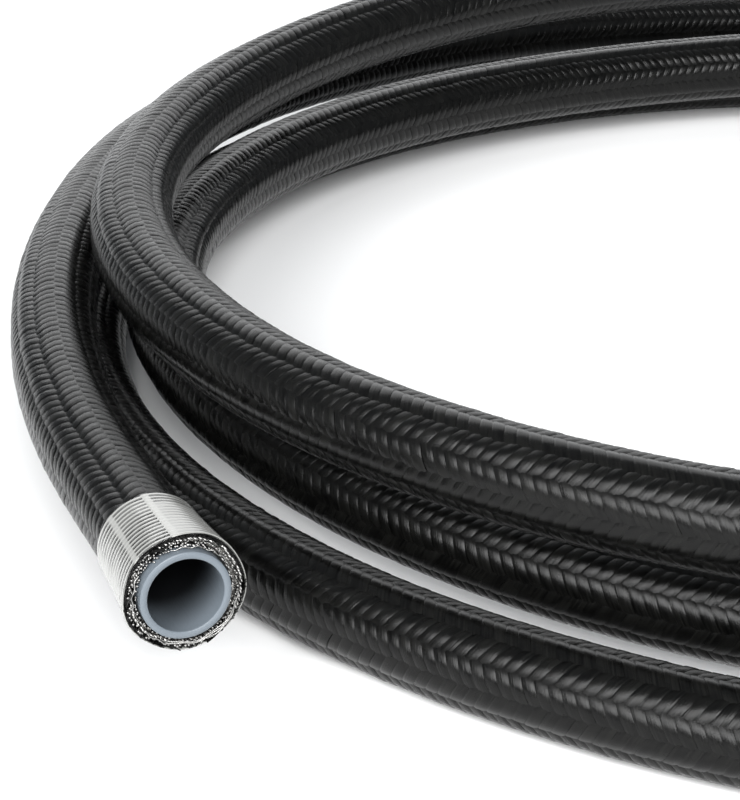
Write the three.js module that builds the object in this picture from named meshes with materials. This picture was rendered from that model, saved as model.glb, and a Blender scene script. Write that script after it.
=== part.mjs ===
// A cut length of braided PTFE hose, lying in a loose coil.
// A white PTFE liner carries the fluid, a braid of steel wire holds its pressure, and a braid of
// black nylon yarn covers both. Tape round each cut end keeps the two braids from fraying.
// Millimetres, +Z up. The taped end in front points along -Y, and the other end lies inside the
// coil and points along -X. The origin is at the middle of the coil's footprint, on the floor.
import * as THREE from 'three';

// Hose section
const BORE = 8.9;
const LINER_WALL = 0.85;
const STEEL_WALL = 0.26;
const COVER_WALL = 0.24;
const LAYER_GAP = 0.1;
const SECTION_SIDES = 12;

// Cut length and its ends
const HOSE_LENGTH = 3048;
const STRAIGHT_END = 32;
const LINER_PROUD = 0.5;
const TAPE_WIDTH = 12.7;
const TAPE_THICKNESS = 0.3;
const TAPE_SETBACK = 0.4;

// The lie of the coil, one row for each quarter turn from the left side, in hose diameters:
// how far the hose lies beyond the coil's radius, and how high its middle is above the floor
const LIE = [
  [4.95, 0.95], [1.10, 1.60], [2.85, 0.75], [2.45, 0.50], [0.80, 0.50], [0.95, 0.50],
  [0.45, 0.50], [-0.25, 1.05], [-1.20, 0.70], [0.00, 1.05], [-0.50, 1.05], [-0.10, 2.50],
  [-0.35, 2.15], [0.30, 2.25], [-1.95, 2.85], [-2.25, 1.35], [-2.70, 0.55], [-1.85, 0.55],
];
const FIRST_QUARTER = 0.63;
const LAST_QUARTER = 15.76;
const STEPS_PER_QUARTER = 6;
const FLOOR_LIFT = 0.5;

const linerRadius = BORE / 2 + LINER_WALL;
const steelInnerRadius = linerRadius + LAYER_GAP;
const steelRadius = steelInnerRadius + STEEL_WALL;
const coverInnerRadius = steelRadius + LAYER_GAP;
const coverRadius = coverInnerRadius + COVER_WALL;
const tapeInnerRadius = (coverRadius + LAYER_GAP) / Math.cos(Math.PI / SECTION_SIDES);
const tapeRadius = tapeInnerRadius + TAPE_THICKNESS;
const hoseDiameter = 2 * coverRadius;
const quarters = LAST_QUARTER - FIRST_QUARTER;
const coilSteps = Math.round(quarters * STEPS_PER_QUARTER);

const UP = new THREE.Vector3(0, 0, 1);
const lieCurve = new THREE.CatmullRomCurve3(
  LIE.map(([reach, lift], row) => new THREE.Vector3(row, reach, lift)), false, 'catmullrom');

// The middle line of one layer: a straight end, the turns of the coil, and another straight end.
// Its steps are equal turns instead of equal lengths, so that the laps' facets lie side by side.
class HoseRoute extends THREE.Curve {
  constructor(coilRadius, trim = 0) {
    super();
    this.coilRadius = coilRadius;
    this.endLength = STRAIGHT_END - trim;
    this.steps = coilSteps + 2;
    this.heading = 0;
    const leaving = this.coilPoint(FIRST_QUARTER).sub(this.coilPoint(FIRST_QUARTER + 0.01));
    this.heading = -Math.PI / 2 - Math.atan2(leaving.y, leaving.x);
  }

  coilPoint(quarter) {
    const lie = lieCurve.getPoint(quarter / (LIE.length - 1));
    const reach = this.coilRadius + lie.y * hoseDiameter;
    const lift = Math.max(lie.z, FLOOR_LIFT) * hoseDiameter;
    const bearing = Math.PI - (quarter - 1) * Math.PI / 2;
    return new THREE.Vector3(reach * Math.cos(bearing), reach * Math.sin(bearing), lift)
      .applyAxisAngle(UP, this.heading);
  }

  getPoint(t, target = new THREE.Vector3()) {
    const step = t * this.steps;
    const turned = THREE.MathUtils.clamp(step - 1, 0, coilSteps) / coilSteps;
    target.copy(this.coilPoint(FIRST_QUARTER + turned * quarters));
    target.y -= this.endLength * Math.max(1 - step, 0);
    target.x -= this.endLength * Math.max(step - this.steps + 1, 0);
    return target;
  }

  getPointAt(u, target) {
    return this.getPoint(u, target);
  }

  getTangentAt(u, target) {
    return this.getTangent(u, target);
  }

  measure() {
    const points = this.getPoints(this.steps * 8);
    return points.slice(1).reduce((sum, point, i) => sum + point.distanceTo(points[i]), 0);
  }
}

// The coil's radius follows from the length of hose that it holds
function coilRadiusFor(length) {
  const turning = quarters * Math.PI / 2;
  let radius = (length - 2 * STRAIGHT_END) / turning;
  for (let pass = 0; pass < 3; pass += 1) {
    radius += (length - new HoseRoute(radius).measure()) / turning;
  }
  return radius;
}

// Points of a regular polygon with a corner on each axis
function ringOfPoints(radius) {
  return Array.from({ length: SECTION_SIDES }, (_, i) => {
    const angle = i * 2 * Math.PI / SECTION_SIDES;
    return new THREE.Vector2(radius * Math.cos(angle), radius * Math.sin(angle));
  });
}

// A tube of one wall, swept along a curve
function tubeAlong(curve, steps, innerRadius, outerRadius) {
  const section = new THREE.Shape(ringOfPoints(outerRadius));
  section.holes.push(new THREE.Path(ringOfPoints(innerRadius).reverse()));
  return new THREE.ExtrudeGeometry(section, { steps, extrudePath: curve, bevelEnabled: false });
}

function piece(name, geometry, material) {
  const mesh = new THREE.Mesh(geometry, material);
  mesh.name = name;
  return mesh;
}

const ptfe = new THREE.MeshStandardMaterial({ color: 0xc3ccd4, roughness: 0.45, metalness: 0 });
const steel = new THREE.MeshStandardMaterial({ color: 0xb9b9b6, roughness: 0.35, metalness: 1 });
const nylon = new THREE.MeshStandardMaterial({ color: 0x1b1b1b, roughness: 0.5, metalness: 0 });
const tape = new THREE.MeshStandardMaterial({ color: 0xd9d9d6, roughness: 0.2, metalness: 0 });

const coilRadius = coilRadiusFor(HOSE_LENGTH);
const linerRoute = new HoseRoute(coilRadius);
const braidRoute = new HoseRoute(coilRadius, LINER_PROUD);

// A tape starts a little way in from the braids' cut and ends one tape width further on
function tapeAt(end, inward) {
  const from = end.clone().addScaledVector(inward, TAPE_SETBACK);
  const to = from.clone().addScaledVector(inward, TAPE_WIDTH);
  return tubeAlong(new THREE.LineCurve3(from, to), 1, tapeInnerRadius, tapeRadius);
}

const hose = new THREE.Group();
hose.add(
  piece('ptfe_liner', tubeAlong(linerRoute, linerRoute.steps, BORE / 2, linerRadius), ptfe),
  piece('steel_braid', tubeAlong(braidRoute, braidRoute.steps, steelInnerRadius, steelRadius), steel),
  piece('nylon_cover', tubeAlong(braidRoute, braidRoute.steps, coverInnerRadius, coverRadius), nylon),
  piece('end_tape', tapeAt(braidRoute.getPoint(0), new THREE.Vector3(0, 1, 0)), tape),
  piece('inner_end_tape', tapeAt(braidRoute.getPoint(1), new THREE.Vector3(1, 0, 0)), tape),
);

// The coil's footprint is centred on the origin
const box = new THREE.Box3().setFromObject(hose, true);
const middle = box.getCenter(new THREE.Vector3());
hose.position.set(-middle.x, -middle.y, -box.min.z);

export default hose;
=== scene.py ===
# %% [markdown]
# # A cut length of braided PTFE hose
#
# The hose has three layers. A white PTFE liner carries the fluid, a braid of thin steel wire holds
# the pressure, and a braid of glossy black nylon yarn protects both. It lies in a loose coil, and
# filament tape round each cut end keeps the braids from fraying.

import math

import bpy
import numpy as np
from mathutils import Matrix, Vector


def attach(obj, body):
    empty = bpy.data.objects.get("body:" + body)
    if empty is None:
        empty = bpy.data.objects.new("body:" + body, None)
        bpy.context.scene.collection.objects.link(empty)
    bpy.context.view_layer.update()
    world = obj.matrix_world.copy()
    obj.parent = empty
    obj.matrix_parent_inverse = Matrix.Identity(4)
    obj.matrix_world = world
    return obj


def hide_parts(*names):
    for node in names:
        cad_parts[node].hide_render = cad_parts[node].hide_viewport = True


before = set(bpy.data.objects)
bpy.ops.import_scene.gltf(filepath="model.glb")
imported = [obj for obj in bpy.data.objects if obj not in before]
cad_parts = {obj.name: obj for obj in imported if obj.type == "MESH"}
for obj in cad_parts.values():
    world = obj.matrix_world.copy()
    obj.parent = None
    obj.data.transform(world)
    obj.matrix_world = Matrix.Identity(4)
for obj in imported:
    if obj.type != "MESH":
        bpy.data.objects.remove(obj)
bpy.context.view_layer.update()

MM = 0.001
chance = np.random.default_rng(7)

# %% [markdown]
# ## The camera
#
# A photograph of a coil can be matched by hand, by moving the camera until the turns line up. Here
# the camera's place and lens were worked out from the edges of the turns, so they are numbers.

# %% Camera
CAMERA_AT = (-0.2234, -0.3159, 0.1514)
CAMERA_LOOKS = (0.3318, 0.8550, -0.3987)
LENS_MM = 117
SENSOR_MM = 36

eye = bpy.data.cameras.new("camera")
eye.lens = LENS_MM
eye.sensor_width = SENSOR_MM
eye.clip_start = 0.01
camera = bpy.data.objects.new("camera", eye)
camera.location = CAMERA_AT
camera.rotation_euler = Vector(CAMERA_LOOKS).to_track_quat("-Z", "Y").to_euler()
bpy.context.collection.objects.link(camera)
bpy.context.scene.camera = camera
print("lens", LENS_MM, "mm")

# %% [markdown]
# ## The way the hose lies
#
# A drawn curve could follow the coil, but a table is easier to check against the solids. Each row
# is a quarter turn. It says how far the hose lies beyond the coil's radius and how high its middle
# is, both in hose diameters, and a smooth curve runs through the rows.

# %% The middle line
DIAMETER = 12.0 * MM
COIL_RADIUS = 123.923174 * MM
HEADING = math.radians(-21.210476)
SHIFT = np.array([-4.489609, -8.792572, -0.019878]) * MM
STRAIGHT_END = 32 * MM
FIRST_QUARTER = 0.63
LAST_QUARTER = 15.76
LIE = np.array([
    [4.95, 0.95], [1.10, 1.60], [2.85, 0.75], [2.45, 0.50], [0.80, 0.50], [0.95, 0.50],
    [0.45, 0.50], [-0.25, 1.05], [-1.20, 0.70], [0.00, 1.05], [-0.50, 1.05], [-0.10, 2.50],
    [-0.35, 2.15], [0.30, 2.25], [-1.95, 2.85], [-2.25, 1.35], [-2.70, 0.55], [-1.85, 0.55],
])
SMOOTHING = 5 * MM
COIL_POINTS = 4000
FINE_STEP = 1 * MM


def lie_at(quarter):
    """Reach and lift at a quarter turn: a cubic between two rows, whose slope at each row is half
    the step from the row before to the row after."""
    rows = np.vstack([2 * LIE[0] - LIE[1], LIE, 2 * LIE[-1] - LIE[-2]])
    row = np.clip(quarter.astype(int), 0, len(LIE) - 2)
    part = (quarter - row)[:, None]
    before, here, there, after = (rows[row + k] for k in range(4))
    slope, next_slope = (there - before) / 2, (after - here) / 2
    bend = 3 * (there - here) - 2 * slope - next_slope
    ease = slope + next_slope - 2 * (there - here)
    return here + slope * part + bend * part**2 + ease * part**3


def coil_line(quarter):
    """A point that turns clockwise round the upright axis, reach beyond the radius, at its lift."""
    reach, lift = (lie_at(quarter) * DIAMETER).T
    out = COIL_RADIUS + reach
    bearing = math.pi - (quarter - 1) * math.pi / 2 + HEADING
    return np.stack([out * np.cos(bearing), out * np.sin(bearing),
                     np.maximum(lift, DIAMETER / 2)], axis=1) + SHIFT


def distances(points):
    """How far along a line of points each one is."""
    return np.concatenate([[0], np.cumsum(np.linalg.norm(np.diff(points, axis=0), axis=1))])


def evenly(points, step):
    """The same line with its points a step apart."""
    at = distances(points)
    stations = np.linspace(0, at[-1], round(at[-1] / step) + 1)
    return np.stack([np.interp(stations, at, points[:, k]) for k in range(3)], axis=1)


def softened(points, step):
    """The same line averaged over a bell curve, which takes the kinks out of it. Each end is first
    carried on in a straight line, so that it stays where it is."""
    reach = int(4 * SMOOTHING / step)
    bell = np.exp(-0.5 * (np.arange(-reach, reach + 1) * step / SMOOTHING) ** 2)
    run = np.arange(1, reach + 1)[:, None]
    start = points[0] + (points[0] - points[1]) * run[::-1]
    finish = points[-1] + (points[-1] - points[-2]) * run
    longer = np.vstack([start, points, finish])
    return np.stack([np.convolve(longer[:, k], bell / bell.sum(), "valid") for k in range(3)], axis=1)


coil = coil_line(np.linspace(FIRST_QUARTER, LAST_QUARTER, COIL_POINTS))
rough = np.vstack([coil[0] + [0, -STRAIGHT_END, 0], coil, coil[-1] + [-STRAIGHT_END, 0, 0]])
MIDDLE = softened(evenly(rough, FINE_STEP), FINE_STEP)
STATION = distances(MIDDLE)
HOSE_END = STATION[-1]
TANGENT = np.gradient(MIDDLE, STATION, axis=0)
TANGENT /= np.linalg.norm(TANGENT, axis=1)[:, None]
SIDE = np.cross(TANGENT, [0, 0, 1])
SIDE /= np.linalg.norm(SIDE, axis=1)[:, None]
RISE = np.cross(SIDE, TANGENT)

# %% [markdown]
# ## Surfaces from two numbers
#
# Every piece is a grid of points worked out from two numbers: how far along the hose, and the
# angle round it. Modelling each yarn by hand would take days, and one formula makes them all.


# %% Grids that follow the hose
def on_hose(station, angle, radius):
    """The middle line at a station, plus the radius times cos(angle) sideways and sin(angle) up."""
    station, angle, radius = np.broadcast_arrays(station, angle, radius)

    def along(table):
        return np.stack([np.interp(station, STATION, table[:, k]) for k in range(3)], axis=-1)

    out = np.cos(angle)[..., None] * along(SIDE) + np.sin(angle)[..., None] * along(RISE)
    return along(MIDDLE) + radius[..., None] * out


def quads(count, rows, columns, rows_meet=False, columns_meet=False):
    """The corner numbers of the quads in count equal grids. Their fronts face the side from which
    the way along a row, turned left, is the way to the next row."""
    row = np.arange(rows if rows_meet else rows - 1)
    column = np.arange(columns if columns_meet else columns - 1)
    up, over = np.meshgrid(row, column, indexing="ij")
    next_up, next_over = (up + 1) % rows, (over + 1) % columns
    corners = np.stack([up * columns + over, up * columns + next_over,
                        next_up * columns + next_over, next_up * columns + over], axis=-1)
    start = np.arange(count)[:, None, None] * rows * columns
    return (start + corners.reshape(1, -1, 4)).reshape(-1, 4)


def make_piece(name, points, faces, material, uv=None, turned=False):
    """A mesh object from points, the corner numbers of its quads and a flat place per point."""
    faces = faces[:, ::-1] if turned else faces
    mesh = bpy.data.meshes.new(name)
    mesh.vertices.add(points.size // 3)
    mesh.vertices.foreach_set("co", points.astype(np.float32).ravel())
    mesh.loops.add(faces.size)
    mesh.loops.foreach_set("vertex_index", faces.astype(np.int32).ravel())
    mesh.polygons.add(len(faces))
    mesh.polygons.foreach_set("loop_start", np.arange(0, faces.size, 4, dtype=np.int32))
    mesh.polygons.foreach_set("use_smooth", np.ones(len(faces), bool))
    if uv is not None:
        flat = mesh.uv_layers.new(name="lay")
        flat.data.foreach_set("uv", uv.reshape(-1, 2)[faces.ravel()].astype(np.float32).ravel())
    mesh.update(calc_edges=True)
    mesh.validate()
    mesh.materials.append(material)
    piece = bpy.data.objects.new(name, mesh)
    bpy.context.collection.objects.link(piece)
    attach(piece, "root")
    print(name, len(faces), "quads")
    return piece


# %% [markdown]
# ## Materials as sums
#
# Wiring nodes one by one hides what a material does. This wrapper lets a material be written as a
# sum: every +, - or * on a signal adds the Math node that does it.


# %% Signals and finishes
class Signal:
    """A number that changes over a surface."""

    def __init__(self, finish, socket):
        self.finish = finish
        self.socket = socket

    def math(self, operation, first, second=None):
        return self.finish.node("ShaderNodeMath", {"operation": operation}, {0: first, 1: second})

    def __add__(self, other):
        return self.math("ADD", self, other)

    def __sub__(self, other):
        return self.math("SUBTRACT", self, other)

    def __rsub__(self, other):
        return self.math("SUBTRACT", other, self)

    def __mul__(self, other):
        return self.math("MULTIPLY", self, other)

    __radd__ = __add__
    __rmul__ = __mul__

    def wave(self):
        """The sine of the number, from 0 to 1."""
        return self.math("SINE", self) * 0.5 + 0.5

    def above(self, low, high):
        """0 below low and 1 above high, with a smooth rise between them."""
        return self.finish.node("ShaderNodeMapRange", {"interpolation_type": "SMOOTHSTEP"},
                                {"Value": self, "From Min": low, "From Max": high})


class Finish:
    """A material with one Principled surface, whose settings are given by socket name."""

    def __init__(self, name, **fixed):
        self.material = bpy.data.materials.new(name)
        self.material.use_nodes = True
        self.tree = self.material.node_tree
        self.surface = self.tree.nodes["Principled BSDF"]
        for socket, value in fixed.items():
            self.set(socket.replace("_", " "), value)

    def connect(self, socket, value):
        if isinstance(value, Signal):
            self.tree.links.new(value.socket, socket)
        elif value is not None:
            socket.default_value = value

    def set(self, socket, value):
        self.connect(self.surface.inputs[socket], value)

    def node(self, kind, settings, sockets, output=0):
        """A new node: its settings first, then the values or signals of its sockets."""
        made = self.tree.nodes.new(kind)
        for setting, value in settings.items():
            setattr(made, setting, value)
        for socket, value in sockets.items():
            self.connect(made.inputs[socket], value)
        return Signal(self, made.outputs[output])

    def place(self, stretch=(1, 1, 1)):
        """The piece's own flat place on it, in millimetres, stretched."""
        lay = self.node("ShaderNodeUVMap", {"uv_map": "lay"}, {})
        return self.node("ShaderNodeVectorMath", {"operation": "MULTIPLY"}, {0: lay, 1: stretch})

    def along_and_round(self):
        """The two numbers of the flat place, apart."""
        split = self.node("ShaderNodeSeparateXYZ", {}, {0: self.place()})
        return split, Signal(self, split.socket.node.outputs[1])

    def noise(self, place, scale, detail=2):
        """Soft random patches from 0 to 1."""
        return self.node("ShaderNodeTexNoise", {"noise_dimensions": "2D"},
                         {"Vector": place, "Scale": scale, "Detail": detail})

    def blend(self, part, first, second):
        """One colour, and another where part is 1."""
        return self.node("ShaderNodeMix", {"data_type": "RGBA"}, {0: part, 6: first, 7: second}, 2)

    def bump(self, height, distance, strength=1.0):
        self.set("Normal", self.node("ShaderNodeBump", {},
                                     {"Height": height, "Distance": distance, "Strength": strength}))


# %% [markdown]
# ## The nylon yarn
#
# Each yarn is a flat bundle of fine, glossy filaments, so the light catches it in streaks that run
# along it. A picture of the weave would blur close up. Noise that is stretched along the yarn
# gives streaks of any fineness, and the same noise moves the surface a little.

# %% Yarn finish
# Noise cells in a millimetre, along the yarn and across it
YARN_STREAKS = (0.12, 8.0, 1)
YARN_PATCHES = (0.35, 0.35, 1)
YARN_DARK = (0.001, 0.001, 0.001, 1)
YARN_PALE = (0.0055, 0.0055, 0.005, 1)

yarn_finish = Finish("black_nylon_yarn", Specular_IOR_Level=0.19)
streaks = yarn_finish.noise(yarn_finish.place(YARN_STREAKS), 1.0, 3)
patches = yarn_finish.noise(yarn_finish.place(YARN_PATCHES), 1.0, 1)
mottle = (streaks * 0.7 + patches * 0.3).above(0.35, 0.7)
yarn_finish.set("Base Color", yarn_finish.blend(mottle, YARN_DARK, YARN_PALE))
yarn_finish.set("Roughness", 0.18 + 0.16 * patches)
yarn_finish.bump(streaks, 0.05 * MM, 0.7)

# The tube under the yarns is only seen as the dark of the slits between them
shade_finish = Finish("shade_under_yarn", Base_Color=(0.001, 0.001, 0.001, 1), Roughness=0.9,
                      Specular_IOR_Level=0.1)

# %% [markdown]
# ## The braided cover
#
# The yarns cross two over and two under. Seen along the hose, that makes rows of short slanted
# floats, each row leaning the other way from its neighbours. A float is a small curved patch whose
# two ends dip under the floats of the next rows, and where two patches meet, the zigzag appears
# by itself.

# %% Floats of yarn
LINER_PROUD = 0.9 * MM
TAPE_WIDTH = 12.7 * MM
TAPE_SETBACK = 0.4 * MM

# The flare of the cut braids, and the side on which they are loosest, in radians round the hose
FLARE = 0.95 * MM
FLARE_POWER = 1.5
LOOSE_SIDE = -0.7

COVER_RADIUS = DIAMETER / 2
FLOAT_ROWS = 12
ROWS_START = math.radians(4)
YARN_PITCH = 1.6 * MM

# A float reaches past its row by this many rows, and its points across are shares of a pitch
FLOAT_REACH = 0.72
FLOAT_POINTS = 6
FLOAT_ACROSS = [-0.5, -0.33, 0.33, 0.5]
FLOAT_DIP = 0.2 * MM
FLOAT_CROWN = 0.1 * MM
CROWN_POWER = 3
TILT_ERROR = 0.02
HEIGHT_ERROR = 0.02 * MM

# Where the first float of either lean stands, in rows round the hose and in pitches along it
FIRST_ROW = {1: 0.25, -1: 1.25}
FIRST_PITCH = {1: 0.25, -1: 0.75}

# A yarn slants, so it is longer than its row is wide and narrower than a pitch
SLANT_LENGTH = 1.12
SLANT_WIDTH = 0.9

# The cover is made in equal lengths that end at whole pitches
LENGTHS_OF_COVER = 4
COVER_SETBACK = LINER_PROUD + 0.6 * MM
COVER_ENDS = np.linspace(math.ceil(COVER_SETBACK / YARN_PITCH),
                         math.floor((HOSE_END - COVER_SETBACK) / YARN_PITCH),
                         LENGTHS_OF_COVER + 1).round().astype(int)


def flare(station, angle):
    """How far the cut braids stand open: most at either cut, and none behind the tape."""
    depth = np.minimum(station, HOSE_END - station) - LINER_PROUD
    open_part = np.clip(1 - depth / (TAPE_WIDTH + TAPE_SETBACK), 0, 1)
    uneven = 1 + 0.3 * np.cos(angle - LOOSE_SIDE) + 0.1 * np.cos(5 * angle + 1.0)
    return FLARE * open_part ** FLARE_POWER * uneven


def floats(first, last, lean):
    """One patch per float, from one whole pitch of the yarn to another. p runs along the yarn and
    w across it, both from the float's middle. The angle is the row's middle + p rows. The station
    is the float's middle + lean p + w pitches. The radius falls with the cosine of p and with a
    power of w."""
    row = 2 * np.arange(FLOAT_ROWS // 2) + FIRST_ROW[lean]
    middle = np.arange(first, last) + FIRST_PITCH[lean]
    row, middle = (grid.reshape(-1, 1, 1) for grid in np.meshgrid(row, middle))
    p = np.linspace(-FLOAT_REACH, FLOAT_REACH, FLOAT_POINTS)[None, :, None]
    w = np.array(FLOAT_ACROSS)[None, None, :]
    tilt = chance.normal(0, TILT_ERROR, row.shape)
    puff = chance.normal(0, HEIGHT_ERROR, row.shape)
    station = (middle + lean * p + w + tilt * p) * YARN_PITCH
    angle = (row + p) * 2 * math.pi / FLOAT_ROWS + ROWS_START + 0 * w
    fall = FLOAT_DIP * (np.cos(math.pi * p) - 1) - FLOAT_CROWN * np.abs(2 * w) ** CROWN_POWER
    radius = COVER_RADIUS + fall + puff + flare(station, angle)
    row_width = 2 * math.pi * COVER_RADIUS / FLOAT_ROWS / MM
    flat = np.stack(np.broadcast_arrays(p * row_width * SLANT_LENGTH,
                                        w * YARN_PITCH / MM * SLANT_WIDTH), axis=-1)
    flat = flat + chance.uniform(0, 90, (len(row), 1, 1, 2))
    return on_hose(station, angle, radius), flat


def cover_length(number):
    """The floats of both leans along one of the equal lengths that the cover is made in."""
    both = [floats(COVER_ENDS[number], COVER_ENDS[number + 1], lean) for lean in (1, -1)]
    points, flat = (np.concatenate(part) for part in zip(*both))
    faces = quads(len(points), FLOAT_POINTS, len(FLOAT_ACROSS))
    return make_piece(f"nylon_yarn_{number + 1}", points, faces, yarn_finish.material, flat)


yarn_pieces = [cover_length(number) for number in range(LENGTHS_OF_COVER)]

# %% [markdown]
# ## The tube under the yarn
#
# Between the floats are thin slits. A plain dark tube behind them stands for the yarns' undersides,
# which would double the number of faces and never be seen.


# %% Walls with two sides and two ends
TUBE_SIDES = 24
TUBE_STEP = 6 * MM
STEEL_OUTER = 5.66 * MM
CLEARANCE = 0.05 * MM
YARN_THICKNESS = 0.32 * MM
CORNER = 0.06 * MM

# How far behind the liner's cut face the plain tubes begin, so that the wire ends hide them
SHADE_DEPTH = LINER_PROUD + 0.4 * MM
STEEL_DEPTH = LINER_PROUD + 1.2 * MM


def wall(name, proud, inner, outer, sides, step, material, flared=True):
    """A tube with a wall: each ring of points goes along the outside of the hose, back along the
    inside, and round again. Two rows close to each corner keep the cut faces flat. Where it is
    flared, only the outside stands open."""
    near = np.array([0, CORNER, 3 * CORNER])
    run = np.linspace(proud + 4 * CORNER, HOSE_END - proud - 4 * CORNER, round(HOSE_END / step))
    station = np.concatenate([proud + near, run, HOSE_END - proud - near[::-1]])
    rounding = np.array([CORNER, 0.3 * CORNER, 0])
    drop = np.concatenate([rounding, np.zeros(len(run)), rounding[::-1]])
    station = np.concatenate([station, station[::-1]])[None, :]
    radius = np.concatenate([outer - drop, inner + drop[::-1]])[None, :]
    angle = np.linspace(0, 2 * math.pi, sides, endpoint=False)[:, None]
    spread = flare(station, angle) if flared else 0
    outside = radius > inner + 1.01 * drop.max()
    points = on_hose(station, angle, radius + spread * outside)
    flat = np.stack(np.broadcast_arrays(station / MM, angle * outer / MM), axis=-1)
    return make_piece(name, points, quads(1, sides, station.size, True, True), material, flat)


cover_tube = wall("nylon_cover_inside", SHADE_DEPTH, STEEL_OUTER + CLEARANCE,
                  COVER_RADIUS - YARN_THICKNESS, TUBE_SIDES, TUBE_STEP, shade_finish.material)

# %% [markdown]
# ## The PTFE liner
#
# PTFE is milky and slightly blue. Light that enters its cut face leaves it again close by, so the
# first millimetres of the bore look pale, and deeper down the braid lets no light through and the
# bore turns dark. That dark is painted shade: with the distance from the cut, the colour goes from
# the PTFE's own pale colour to a painted near-black.

# %% Liner
BORE_RADIUS = 4.45 * MM
LINER_RADIUS = 5.3 * MM
LINER_SIDES = 44
LINER_STEP = 10 * MM
HOSE_MM = HOSE_END / MM

# The depths in millimetres over which painted shade darkens the bore, then the PTFE's own colour and
# the painted shade colour
PAINTED_SHADE_DEPTHS = (0.2, 9.0)
PTFE_PALE = (0.115, 0.135, 0.155, 1)
PTFE_PAINTED_SHADE = (0.006, 0.0065, 0.0075, 1)

liner_finish = Finish("ptfe", Specular_IOR_Level=0.45)
depth = liner_finish.along_and_round()[0]
from_cut = depth.math("MINIMUM", depth, HOSE_MM - depth)
# The bore's colour fades from the PTFE's own pale colour to painted shade as the depth from the cut
# grows
liner_finish.set("Base Color", liner_finish.blend(from_cut.above(*PAINTED_SHADE_DEPTHS), PTFE_PALE, PTFE_PAINTED_SHADE))
clouds = liner_finish.noise(liner_finish.place((0.3, 1, 1)), 2.0)
drawn_lines = liner_finish.noise(liner_finish.place((0.15, 2, 1)), 2.0)
liner_finish.set("Roughness", 0.32 + 0.15 * clouds)
liner_finish.bump(drawn_lines, 0.02 * MM, 0.6)

liner = wall("liner", 0, BORE_RADIUS, LINER_RADIUS, LINER_SIDES, LINER_STEP,
             liner_finish.material, False)

# %% [markdown]
# ## The steel braid
#
# Only the cut shows the steel. There each wire ends in a bright dot, and the dots stand in crowded
# rows because the wires cross. Each wire is a thin rod that leans along the hose, with its own
# small error of place. A few wires have slipped out and lie across the cut.

# %% Steel tube and wire ends
STEEL_DARK = (0.10, 0.10, 0.10, 1)
STEEL_BRIGHT = (0.66, 0.65, 0.63, 1)

steel_finish = Finish("steel_wire", Metallic=1.0)
shine = steel_finish.noise(steel_finish.place((0.5, 4, 1)), 1.0, 2)
steel_finish.set("Base Color", steel_finish.blend(shine, STEEL_DARK, STEEL_BRIGHT))
steel_finish.set("Roughness", 0.22 + 0.25 * shine)
steel_finish.bump(shine, 0.03 * MM, 0.5)

steel_tube = wall("steel_layer", STEEL_DEPTH, LINER_RADIUS + CLEARANCE, STEEL_OUTER,
                  TUBE_SIDES, TUBE_STEP, steel_finish.material)

# A rod's rings: how deep each lies, its share of the full thickness, and its points round
RING_DEPTHS = np.array([0, 0, 0.5, 1.2, 2.2]) * MM
RING_GIRTHS = np.array([0.0, 1, 1, 1, 1])
SPOKES = np.arange(6) * math.pi / 3
BUNCH_ERROR = 0.012
RADIUS_ERROR = 0.06 * MM
CUT_ERROR = 0.16 * MM

# Rows of rods: radius, share of the flare, count, and lean in radians a millimetre
WIRE_ROWS = [(5.44 * MM, 0.2, 96, 0.06), (5.62 * MM, 0.55, 100, -0.06), (5.78 * MM, 0.8, 92, 0.06)]
YARN_ROWS = [(5.88 * MM, 0.9, 150, 0.15), (5.98 * MM, 1.0, 160, -0.15)]
WIRE_THICKNESS = 0.23 * MM
FILAMENT_THICKNESS = 0.17 * MM
WIRE_DEPTH = LINER_PROUD + 0.12 * MM
FILAMENT_DEPTH = LINER_PROUD + 0.3 * MM

# Stray wires: from and to in degrees round the hose, then the radius at each in millimetres
STRAY_WIRES = [
    (-118, -22, 6.0, 6.5), (-112, -30, 6.2, 6.7), (-104, -38, 6.1, 6.9), (28, 62, 5.9, 5.6),
    (-140, -96, 6.1, 6.3), (150, 196, 5.9, 6.0), (-70, -8, 6.8, 6.3), (60, 104, 5.7, 5.5),
]
STRAY_POINTS = 16
STRAY_RADIUS = 0.075 * MM
STRAY_WAVE = 0.12 * MM
STRAY_TAPER = 30
STRAY_RISE = 0.3 * MM
STRAY_FOOT = 0.05 * MM
BOTH_ENDS = (("", False), ("inner_", True))


def rods(name, inner_end, rows, thickness, depth_from, material):
    """Thin six-sided rods that run inwards from the cut. A ring of no girth closes the end that is
    seen, and the other end stays open under the tape."""
    parts, flats = [], []
    for radius, share, count, lean in rows:
        bunch = np.arange(count) * 2 * math.pi / count
        at = (bunch + chance.normal(0, BUNCH_ERROR, count))[:, None, None]
        out = (radius + chance.normal(0, RADIUS_ERROR, count))[:, None, None]
        cut = (depth_from + chance.normal(0, CUT_ERROR, count))[:, None, None]
        inward = RING_DEPTHS[None, None, :]
        girth = RING_GIRTHS[None, None, :] * thickness / 2
        spoke = SPOKES[None, :, None]
        station = cut + inward
        angle = at + lean * inward / MM + girth * np.cos(spoke) / out
        lift = share * flare(station, angle) + girth * np.sin(spoke)
        station = HOSE_END - station if inner_end else station
        parts.append(on_hose(station, angle, out + lift))
        flat = np.stack(np.broadcast_arrays(inward / MM + 0 * angle, spoke + 0 * angle), axis=-1)
        flats.append(flat + chance.uniform(0, 90, (count, 1, 1, 2)))
    points = np.concatenate(parts)
    faces = quads(len(points), len(SPOKES), len(RING_DEPTHS), True)
    return make_piece(name, points, faces, material, np.concatenate(flats), turned=not inner_end)


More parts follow.
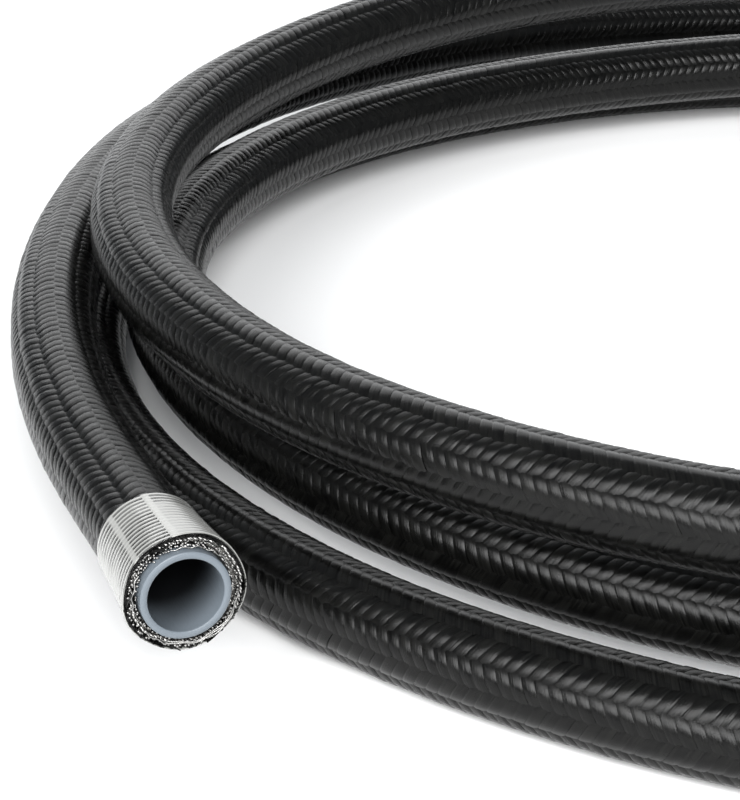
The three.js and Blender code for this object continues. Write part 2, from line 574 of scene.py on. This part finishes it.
def stray_wires(name, inner_end):
    """Thin tubes bent round the cut. The radius goes evenly from one end's to the other's, plus a
    slow wave, and the middle rises out of the cut by a half wave."""
    share = np.linspace(0, 1, STRAY_POINTS)[None, None, :]
    spoke = SPOKES[None, :, None]
    start, stop, low, high = (column[:, None, None] for column in np.array(STRAY_WIRES).T)
    angle = np.radians(start + (stop - start) * share) + 0 * spoke
    girth = STRAY_RADIUS * np.minimum(1, STRAY_TAPER * share * (1 - share))
    radius = (low + (high - low) * share) * MM + STRAY_WAVE * np.sin(share * math.pi * 5 + start)
    height = STRAY_FOOT - STRAY_RISE * np.sin(share * math.pi)
    station = LINER_PROUD + height + girth * np.sin(spoke)
    station = HOSE_END - station if inner_end else station
    flat = np.stack(np.broadcast_arrays(share * 9 + 0 * angle, spoke + 0 * angle), axis=-1)
    points = on_hose(station, angle, radius + girth * np.cos(spoke))
    faces = quads(len(STRAY_WIRES), len(SPOKES), STRAY_POINTS, True)
    return make_piece(name, points, faces, steel_finish.material, flat, turned=not inner_end)


wire_ends = [rods(end + "wire_ends", inner, WIRE_ROWS, WIRE_THICKNESS, WIRE_DEPTH,
                  steel_finish.material) for end, inner in BOTH_ENDS]
wire_ends += [stray_wires(end + "stray_wires", inner) for end, inner in BOTH_ENDS]
yarn_ends = [rods(end + "yarn_ends", inner, YARN_ROWS, FILAMENT_THICKNESS, FILAMENT_DEPTH,
                  yarn_finish.material) for end, inner in BOTH_ENDS]

# %% [markdown]
# ## The filament tape
#
# The tape is a clear film with rows of white glass threads in it. It goes once round the hose and
# a good way further, and where it lies double it looks whiter. Where the glue holds well the black
# yarn shows between the threads, and where air is caught it is hazy.

# %% Tape
TAPE_THREADS = 15
TAPE_START = math.radians(-60)
TAPE_TURNS = 1.44
TAPE_LIFT = 0.12 * MM
TAPE_RADIUS = COVER_RADIUS + 0.04 * MM
TAPE_TAPER = 120
FILM = 0.09 * MM
THREAD = 0.07 * MM
THREAD_POWER = 1.5
THREAD_PITCH = TAPE_WIDTH / MM / TAPE_THREADS
TAPE_POINTS = 180
POINTS_PER_THREAD = 4
TAPE_RADIUS_MM = 6.1
ONE_TURN = 2 * math.pi * TAPE_RADIUS_MM

# Where the haze changes, from and to: millimetres round the hose, and across the tape for the last
DOUBLE_FROM = (ONE_TURN - 0.3, ONE_TURN)
SIDE_FROM = (22.5, 26.0)
CREASE_FROM = (20.6, 20.9)
CREASE_TO = (21.3, 21.7)
SEAM_FROM = (TAPE_TURNS * ONE_TURN - 0.9, TAPE_TURNS * ONE_TURN - 0.7)
CLEAR_FROM = (9.2, 10.2)
FILM_COLOUR = (0.03, 0.033, 0.032, 1)
THREAD_COLOUR = (0.33, 0.33, 0.315, 1)

tape_finish = Finish("filament_tape", Specular_IOR_Level=0.6, Coat_Weight=0.5, Coat_Roughness=0.08)
across, around = tape_finish.along_and_round()
thread = (across * (2 * math.pi / THREAD_PITCH) - math.pi / 2).wave().above(0.45, 0.75)
haze = tape_finish.noise(tape_finish.place((0.25, 0.22, 1)), 1.0, 3).above(0.42, 0.62)
double = around.above(*DOUBLE_FROM)
side = around.above(*SIDE_FROM) * (1 - double)
crease = around.above(*CREASE_FROM) * (1 - around.above(*CREASE_TO))
seam = around.above(*SEAM_FROM)
clear_back = across.above(*CLEAR_FROM)
cloud = 1 - (1 - haze * 0.45) * (1 - side * 0.92) * (1 - double * (0.85 - 0.55 * clear_back))
white = 1 - (1 - thread) * (1 - cloud) * (1 - crease * 0.8) * (1 - seam * 0.9)
tape_finish.set("Base Color", tape_finish.blend(white, FILM_COLOUR, THREAD_COLOUR))
tape_finish.set("Roughness", 0.35 - 0.15 * thread)
tape_finish.set("Alpha", 0.16 + 0.8 * white)
tape_finish.bump(tape_finish.noise(tape_finish.place((3.0, 0.4, 1)), 1.0), 0.06 * MM, 0.5)


def tape(name, inner_end):
    """A strip wound on a slow spiral: the radius grows by the tape's lift each turn, and the
    threads raise the outside in even ribs."""
    turn = np.linspace(0, TAPE_TURNS, TAPE_POINTS)[:, None]
    ribs = TAPE_THREADS * POINTS_PER_THREAD + 1
    share = np.linspace(0, 1, ribs)
    rib = THREAD * (0.5 - 0.5 * np.cos(share * 2 * math.pi * TAPE_THREADS)) ** THREAD_POWER
    share = np.concatenate([share, share[::-1]])[None, :]
    height = np.concatenate([FILM + rib, np.zeros(ribs)])[None, :]
    closing = np.minimum(1, np.minimum(turn, TAPE_TURNS - turn) * TAPE_TAPER)
    station = LINER_PROUD + TAPE_SETBACK + share * TAPE_WIDTH
    angle = TAPE_START + turn * 2 * math.pi
    radius = TAPE_RADIUS + turn * TAPE_LIFT + height * closing + flare(station, angle)
    station = HOSE_END - station if inner_end else station
    flat = np.stack(np.broadcast_arrays(share * TAPE_WIDTH / MM, turn * ONE_TURN), axis=-1)
    points = on_hose(station, angle, radius)
    faces = quads(1, TAPE_POINTS, 2 * ribs, False, True)
    return make_piece(name, points, faces, tape_finish.material, flat, turned=inner_end)


tapes = [tape("tape", False), tape("inner_tape", True)]

# %% [markdown]
# ## Hiding the solids
#
# The solids in model.glb that these pieces take the place of are hidden. The pieces follow the same
# middle line, and a path of points along it is worked out.

# %% Cord and nodes
PATH_POINTS = 760

path = on_hose(np.linspace(0, HOSE_END, PATH_POINTS), 0.0, 0.0)
for piece in (cover_tube, *yarn_pieces, *yarn_ends):
    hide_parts("nylon_cover")
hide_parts("ptfe_liner")
for piece in (steel_tube, *wire_ends):
    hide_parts("steel_braid")
for piece, node in zip(tapes, ("end_tape", "inner_end_tape")):
    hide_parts(node)

# %% [markdown]
# ## Floor and light
#
# Black nylon shows little colour of its own, so its look is what it reflects: a soft light in
# front, a second one on the left, and a wide one behind for the rim. A small strong lamp would put
# a hard line along each turn instead.

# %% Floor
FLOOR_REACH = 3.0
floor_corners = [(-1, -1), (1, -1), (1, 1), (-1, 1)]

floor_mesh = bpy.data.meshes.new("floor")
floor_mesh.from_pydata([(x * FLOOR_REACH, y * FLOOR_REACH, 0) for x, y in floor_corners],
                       [], [(0, 1, 2, 3)])
floor = bpy.data.objects.new("floor", floor_mesh)
bpy.context.collection.objects.link(floor)
floor_finish = Finish("pale_floor", Base_Color=(0.92, 0.92, 0.92, 1), Roughness=0.9,
                      Specular_IOR_Level=0.1)
floor_mesh.materials.append(floor_finish.material)

# %% Lights
WORLD_COLOUR = (0.9, 0.95, 1.0, 1)
WORLD_STRENGTH = 0.32

# Name, place, the point it faces, side in metres and power in watts
SOFT_LIGHTS = [
    ("front", (-0.30, -1.00, 0.66), (0, 0, 0), 0.6, 21),
    ("left", (-1.00, -0.55, 0.68), (-0.05, 0, 0), 0.6, 16),
    ("behind", (0.35, 1.30, 0.60), (0, 0, 0), 1.4, 10),
]

scene = bpy.context.scene
scene.view_settings.view_transform = "Standard"
world = bpy.data.worlds.new("studio")
world.use_nodes = True
sky = world.node_tree.nodes["Background"]
sky.inputs["Color"].default_value = WORLD_COLOUR
sky.inputs["Strength"].default_value = WORLD_STRENGTH
scene.world = world


def soft_light(name, at, aim, size, power):
    """A square soft light that faces a point."""
    lamp = bpy.data.lights.new(name, "AREA")
    lamp.size = size
    lamp.energy = power
    light = bpy.data.objects.new(name, lamp)
    light.location = at
    light.rotation_euler = (Vector(aim) - Vector(at)).to_track_quat("-Z", "Y").to_euler()
    bpy.context.collection.objects.link(light)


for row in SOFT_LIGHTS:
    soft_light(*row)
print("lights", len(SOFT_LIGHTS))
